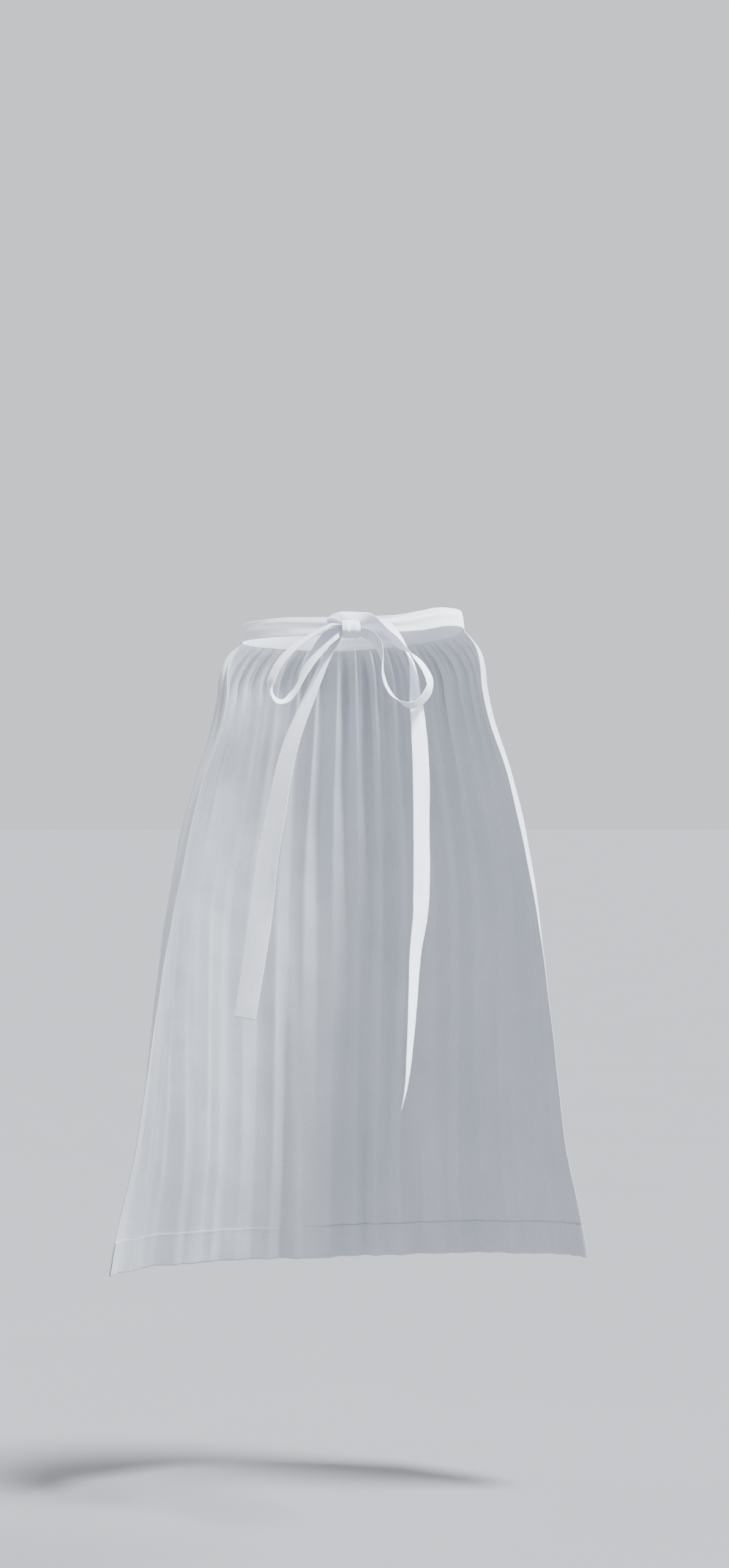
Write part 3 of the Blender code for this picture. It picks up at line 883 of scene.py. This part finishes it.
def tape_path(rows, outward):
    """The middle, edge, face, half width and bulge of a table's tape, in small steps.

    outward is the side of its path, 1 or -1, that its near edge goes to as it turns.
    """
    rows = np.array(rows, float)
    runs = run_along(rows[:, :3])
    places = np.linspace(0, runs[-1], int(runs[-1] / TAPE_STEP) + 2)
    x, y, z, turn, width, bulge = smooth(np.column_stack([runs, rows]), places)
    middle = np.stack([x, y, z], axis=-1)
    along = unit(np.gradient(middle, axis=0))
    side = unit(np.stack([-along[:, 2], 0 * x, along[:, 0]], axis=-1)) * outward
    toward = facing(np.cross(along, side), BACKWARD)
    lean = np.radians(turn)[:, None]
    edge = side * np.sin(lean) + toward * np.cos(lean)
    face = facing(np.cross(along, edge), BACKWARD)
    for i in range(1, len(face)):
        face[i] = facing(face[i], face[i - 1])
    # across its bulge a tape is an arc, whose chord is less than the tape's width
    half = (width - 8 * bulge * bulge / (3 * width)) / 2
    return middle, edge, face, half, bulge


def waist_tie(material):
    """The tie round the waist, knot to knot, with the panel's top edge between its layers."""
    angle = np.linspace(KNOT_ANGLE + KNOT_OPENING, KNOT_ANGLE + 360 - KNOT_OPENING,
                        WAIST_SECTIONS)
    middle = waist_line(angle, 0)
    across = waist_line(angle, 1) - waist_line(angle, -1)
    edge, face = path_frames(middle, across)
    face = facing(face, middle * (1, 1, 0))
    half = np.linalg.norm(across, axis=1) / 2
    over_panel = (
        ease((angle - LEFT_SEAM_ANGLE) / SEAM_EASE + 1)
        * ease((RIGHT_SEAM_ANGLE - angle) / SEAM_EASE + 1)
    )
    wall = TAPE_WALL + (BAND_WALL - TAPE_WALL) * over_panel
    path = (middle, edge, face, half, 0 * angle)
    return tape_tube("waist_tie", path, wall, material, TIE_CREASES, TIE_PUCKER)


def tape_piece(name, rows, outward, material, creases, hemmed=False):
    """A loop or a tail of the bow, from its table."""
    path = tape_path(rows, outward)
    wall = np.full(len(path[0]), TAPE_WALL)
    return tape_tube(name, path, wall, material, creases, hemmed=hemmed)


def knot_wrap(material):
    """The turn of tape that goes over the front of the knot and back under it."""
    rows = np.array(WRAP_ROWS)
    runs = run_along(rows[:, :2])
    places = np.linspace(0, runs[-1], WRAP_SECTIONS)
    y, z, half = smooth(np.column_stack([runs, rows]), places)
    middle = np.stack([0 * y + KNOT_MIDDLE[0], y, z], axis=-1)
    edge, face = path_frames(middle, np.tile([[1.0, 0.0, 0.0]], (len(y), 1)))
    face = facing(face, middle - KNOT_MIDDLE)
    wall = np.full(len(y), TAPE_WALL)
    path = (middle, edge, face, half, 0 * y)
    return tape_tube("knot_wrap_tape", path, wall, material, WRAP_CREASES)


def stitched(name, rows, material):
    """Rows of machine stitches as one mesh. A row is a path and the way out of the cloth."""
    bm = bmesh.new()
    for path, out in rows:
        run = run_along(path)
        # a row is made apart and then joined on, which is quicker in a large mesh
        row = bmesh.new()
        for start in np.arange(STITCH_GAP, run[-1] - STITCH_LONG, STITCH_LONG + STITCH_GAP):
            first, last = on_path(run, path, (start, start + STITCH_LONG))
            rise = unit(on_path(run, out, start))
            along = (last - first) / 2
            beside = unit(np.cross(rise, along)) * THREAD / 2
            axes = np.column_stack([along, beside, rise * THREAD_HEIGHT / 2])
            turn = Matrix(axes * MM).to_4x4()
            turn.translation = Vector((first + last) / 2 * MM)
            bmesh.ops.create_icosphere(row, subdivisions=1, radius=1, matrix=turn)
        laid = bpy.data.meshes.new(name)
        row.to_mesh(laid)
        row.free()
        bm.from_mesh(laid)
        bpy.data.meshes.remove(laid)
    bmesh.ops.recalc_face_normals(bm, faces=bm.faces)
    obj = finished(name, bm, material)
    obj.data.shade_smooth()
    return obj


# The object

tie_cotton = woven_cotton("pressed_cotton_tape", "#F2F5FC", "#E3E7F0", 26, 0.35)
# The panel is the same cotton as the tape. Its darker colours are painted shade, so that its
# hollow side reads as shaded behind the tie; its tone still varies at random, as the tape's does.
panel_cotton_painted_shade = woven_cotton("cotton_sheeting_painted_shade", "#DADDE3", "#C9CDD4", 34, 0.9)
cotton_thread = sewing_thread("spun_cotton_thread", "#F2F3F5", "#DCDDE0")

panel_piece = panel_cloth(panel_cotton_painted_shade)
tie_piece = waist_tie(tie_cotton)
left_loop = tape_piece("left_loop_tape", LEFT_LOOP_ROWS, 1, tie_cotton, LEFT_LOOP_CREASES)
right_loop = tape_piece("right_loop_tape", RIGHT_LOOP_ROWS, -1, tie_cotton, RIGHT_LOOP_CREASES)
left_tail = tape_piece("left_tail_tape", LEFT_TAIL_ROWS, -1, tie_cotton, LEFT_TAIL_CREASES,
                       hemmed=True)
right_tail = tape_piece("right_tail_tape", RIGHT_TAIL_ROWS, 1, tie_cotton, RIGHT_TAIL_CREASES,
                        hemmed=True)
wrap = knot_wrap(tie_cotton)
tie_stitching = stitched("tie_stitching", TIE_STITCHES, cotton_thread)
panel_stitching = stitched("panel_stitching", panel_stitch_rows(), cotton_thread)

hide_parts("panel", "bottom_hem", "side_hem_left", "side_hem_right")
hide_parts("waistband_front", "waist_tape_left", "waist_tape_right")
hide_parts("left_loop")
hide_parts("right_loop")
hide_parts("left_tail")
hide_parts("right_tail")
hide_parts("knot_wrap")

tie_pieces = (tie_piece, left_loop, right_loop, left_tail, right_tail, wrap, tie_stitching)
for piece in tie_pieces:
    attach(piece, "root")
for piece in (panel_piece, panel_stitching):
    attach(piece, "root")


# The studio


def studio_paper(name, pale, deep):
    """Seamless studio paper: matt and even, with the faintest mottling."""
    material, tree, shader = new_material(name, {"Roughness": 0.95, "Specular IOR Level": 0.1})
    place = add_node(tree, "ShaderNodeTexCoord").outputs["Object"]
    mottle = add_node(tree, "ShaderNodeTexNoise", {"Vector": place}, scale=3.0, detail=2.0)
    ramp = add_node(tree, "ShaderNodeValToRGB", {"Fac": mottle.outputs["Fac"]})
    ramp.color_ramp.elements[0].color = linear(deep)
    ramp.color_ramp.elements[1].color = linear(pale)
    tree.links.new(ramp.outputs["Color"], shader.inputs["Base Color"])
    return material


def studio_floor():
    """A wide, flat floor below the apron, which hangs clear of it as when it is worn."""
    bm = bmesh.new()
    bmesh.ops.create_grid(bm, x_segments=8, y_segments=8, size=FLOOR_HALF)
    bmesh.ops.translate(bm, verts=bm.verts, vec=(0, 0, FLOOR_HEIGHT))
    return finished("studio_floor", bm, studio_paper("pale_studio_paper", "#7F8083", "#7C7D80"))


def studio_light(name, kind, way, energy, colour, **settings):
    """A light that shines along way; settings give the size of what shines."""
    data = bpy.data.lights.new(name, kind)
    data.energy = energy
    data.color = colour
    for setting, value in settings.items():
        setattr(data, setting, value)
    light = in_scene(name, data)
    light.rotation_euler = Vector(way).to_track_quat("-Z", "Y").to_euler()
    return light


def studio_world():
    """Pale walls all round, with a darker ceiling, so that the top light models the folds."""
    world = bpy.data.worlds.new("studio")
    bpy.context.scene.world = world
    world.use_nodes = True
    tree = world.node_tree
    background = tree.nodes["Background"]
    background.inputs["Color"].default_value = linear("#E5E7EC")
    way = add_node(tree, "ShaderNodeTexCoord").outputs["Generated"]
    height = add_node(tree, "ShaderNodeSeparateXYZ", {"Vector": way}).outputs["Z"]
    fade = add_node(tree, "ShaderNodeMapRange", {"Value": height}, interpolation_type="SMOOTHSTEP",
                    from_min=0.24, from_max=0.5, to_min=1.2, to_max=0.12)
    tree.links.new(fade.outputs["Result"], background.inputs["Strength"])


def photo_camera():
    """The photograph's view: level, from behind and 5 degrees to the left."""
    data = bpy.data.cameras.new("photo_camera")
    data.sensor_width = SENSOR
    # the sensor's width goes on the longer side of the picture
    data.lens = SENSOR * FOCAL_PIXELS / PHOTO_HEIGHT
    camera = in_scene("photo_camera", data)
    camera.location = CAMERA_PLACE
    camera.rotation_euler = (math.radians(90), 0, math.radians(CAMERA_TURN))
    bpy.context.scene.camera = camera


studio_floor()
for name, way, strength, spread, colour in SUNS:
    studio_light(name, "SUN", way, strength, colour, angle=math.radians(spread))
fill = studio_light("fill_softbox", "AREA", FILL_AIM - FILL_PLACE, FILL_POWER, FILL_COLOUR,
                    shape="DISK", size=FILL_SIZE)
fill.location = FILL_PLACE
studio_world()
photo_camera()
